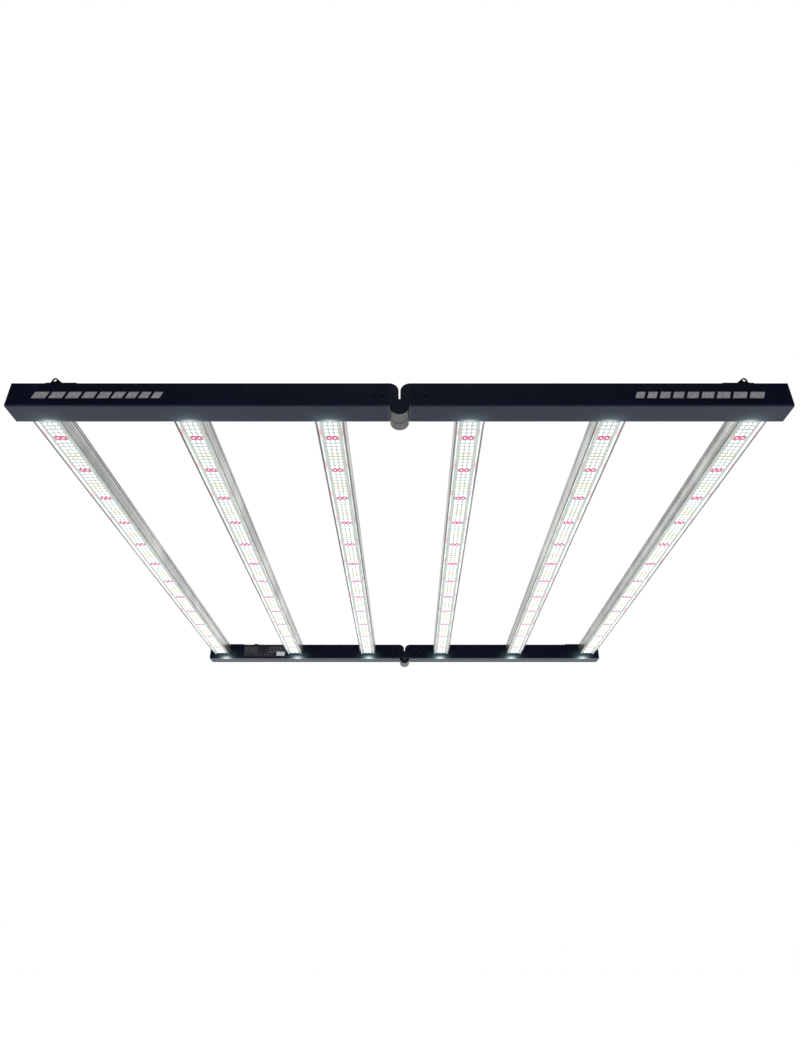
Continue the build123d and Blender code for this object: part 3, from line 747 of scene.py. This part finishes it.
def add_area_light(name, place, aim, size, power):
    """A large soft light aimed at a point."""
    light = bpy.data.lights.new(name, "AREA")
    light.size = size
    light.energy = power
    lamp = bpy.data.objects.new(name, light)
    bpy.context.scene.collection.objects.link(lamp)
    lamp.location = place
    lamp.rotation_euler = (Vector(aim) - Vector(place)).to_track_quat("-Z", "Y").to_euler()


def add_sun():
    """Broad soft light from straight above that keeps the floor pale."""
    light = bpy.data.lights.new("ceiling", "SUN")
    light.energy = SUN_STRENGTH
    light.angle = SUN_ANGLE
    bpy.context.scene.collection.objects.link(bpy.data.objects.new("ceiling", light))


def add_floor():
    """Plain pale floor, well below the hanging light."""
    builder = bmesh.new()
    outline = rectangle(-FLOOR_REACH, FLOOR_REACH, -FLOOR_REACH, FLOOR_REACH)
    builder.faces.new([builder.verts.new((x, y, -FLOOR_DROP)) for x, y in outline])
    mesh = bpy.data.meshes.new("floor")
    builder.to_mesh(mesh)
    builder.free()
    m = Nodes("pale_floor")
    m.colour(m.ramp(m.noise(m.place(), 3.0), (0.3, (0.88, 0.88, 0.88)), (0.7, (0.90, 0.90, 0.90))))
    m.set(Roughness=0.9)
    mesh.materials.append(m.material)
    floor = bpy.data.objects.new("floor", mesh)
    bpy.context.scene.collection.objects.link(floor)


# ---------------------------------------------------------------- putting it together
add_camera()
add_world()
add_floor()
add_area_light("overhead", (0.0, 0.5, 2.6), (0.0, 0.3, 0.0), 2.4, 45.0)
add_sun()
bpy.context.scene.view_settings.view_transform = "Standard"

rail_paint = powder_coat("rail_paint", (0.0012, 0.0030, 0.0110), (0.0022, 0.0045, 0.0160),
                         0.34, 0.44)
hinge_paint = hinge_coat("hinge_paint")
bar_metal = extruded_aluminium("bar_aluminium")
board_paint = board_mask("board_white")
screw_black = metal("black_screw", (0.02, 0.02, 0.024), (0.05, 0.05, 0.055), 0.30, 0.45)
led_materials = {
    "white": lit_dome("white_led", 3.4, (0.0, (1.0, 1.0, 0.97)), (0.45, (0.80, 0.92, 0.85)),
                      (0.96, (0.19, 0.23, 0.205))),
    "warm": lit_dome("warm_led", 2.6, (0.0, (1.0, 0.96, 0.78)), (0.45, (0.80, 0.72, 0.42)),
                     (0.96, (0.26, 0.22, 0.13))),
    "red": lit_dome("red_led", 0.74, (0.0, (1.0, 0.72, 0.82)), (0.30, (1.0, 0.42, 0.60)),
                    (0.48, (0.34, 0.009, 0.072)), (0.88, (0.34, 0.009, 0.068)),
                    (1.0, (0.56, 0.30, 0.38))),
}

ALL_OVER = {
    "hanger": metal("hanger_steel", (0.010, 0.011, 0.016), (0.020, 0.022, 0.030), 0.35, 0.5),
    "pan_screws": metal("plated_screw", (0.40, 0.40, 0.38), (0.62, 0.62, 0.58), 0.22, 0.36),
    "driver": metal("driver_case", (0.42, 0.43, 0.44), (0.60, 0.61, 0.62), 0.35, 0.5, scale=120.0),
    "wiring": moulded("wire_insulation", (0.42, 0.03, 0.02), (0.52, 0.05, 0.03), 0.35, 0.5),
    "wire_connectors": moulded("connector_nylon", (0.62, 0.62, 0.58), (0.72, 0.72, 0.68), 0.35, 0.5),
    "lead_grommets": moulded("rubber", (0.012, 0.012, 0.013), (0.022, 0.022, 0.024), 0.6, 0.8),
    "gland_seal": moulded("seal_rubber", (0.010, 0.010, 0.011), (0.020, 0.020, 0.022), 0.6, 0.8),
    "gland": moulded("gland_nylon", (0.014, 0.014, 0.018), (0.028, 0.028, 0.034), 0.4, 0.55),
    "rating_plate": printed("plate_film", (0.012, 0.014, 0.022), (0.022, 0.025, 0.036)),
    "dimmer_pot": moulded("pot_body", (0.05, 0.09, 0.16), (0.08, 0.13, 0.21), 0.4, 0.55),
    "dimmer_shaft": metal("shaft_metal", (0.45, 0.45, 0.43), (0.65, 0.65, 0.62), 0.25, 0.4),
    "dimmer_knob": moulded("knob_plastic", (0.006, 0.006, 0.008), (0.014, 0.014, 0.018), 0.35, 0.5),
    "hinge_pins": metal("pin_steel", (0.48, 0.48, 0.47), (0.68, 0.68, 0.66), 0.18, 0.3),
    "hinge_bushes": metal("bush_bronze", (0.42, 0.27, 0.10), (0.60, 0.40, 0.18), 0.3, 0.45),
    "hinge_washers": moulded("washer_nylon", (0.020, 0.020, 0.022), (0.035, 0.035, 0.038), 0.4, 0.6),
}


def material_for(node):
    """The material whose key is the longest one found in the node's name."""
    keys = [key for key in ALL_OVER if key in node]
    return ALL_OVER[max(keys, key=len)] if keys else None


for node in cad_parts:
    if material_for(node) is not None:
        use(material_for(node), node)
for end in ("front", "rear"):
    for side in SIDES:
        use(rail_paint, f"{end}_rail_{side}", f"{end}_cover_{side}", f"{end}_end_cap_{side}")
        use(hinge_paint, f"{end}_hinge_block_{side}")
for side_name, side in (("left", -1), ("right", 1)):
    add_screws(side_name, side, screw_black)
silver_ink = printed("silver_ink", (0.28, 0.28, 0.31), (0.42, 0.42, 0.45))
plate_ink = printed("plate_ink", (0.10, 0.105, 0.12), (0.16, 0.165, 0.18))
add_rail_stripes("left", -516.0 * MM, [MM * (20.0 - step) for step in range(9)], silver_ink)
add_rail_stripes("right", 330.0 * MM, [MM * (12.0 + step) for step in range(9)], silver_ink)
add_plate_print(plate_ink, printed("label_white", (0.66, 0.67, 0.68), (0.82, 0.83, 0.84)))
for number in BAR_NUMBERS:
    use(bar_metal, f"heat_sink_{number}")
    use(board_paint, f"led_board_{number}")
    add_leds(number, led_materials)["red"]
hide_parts("red_leds_left")
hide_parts("red_leds_right")
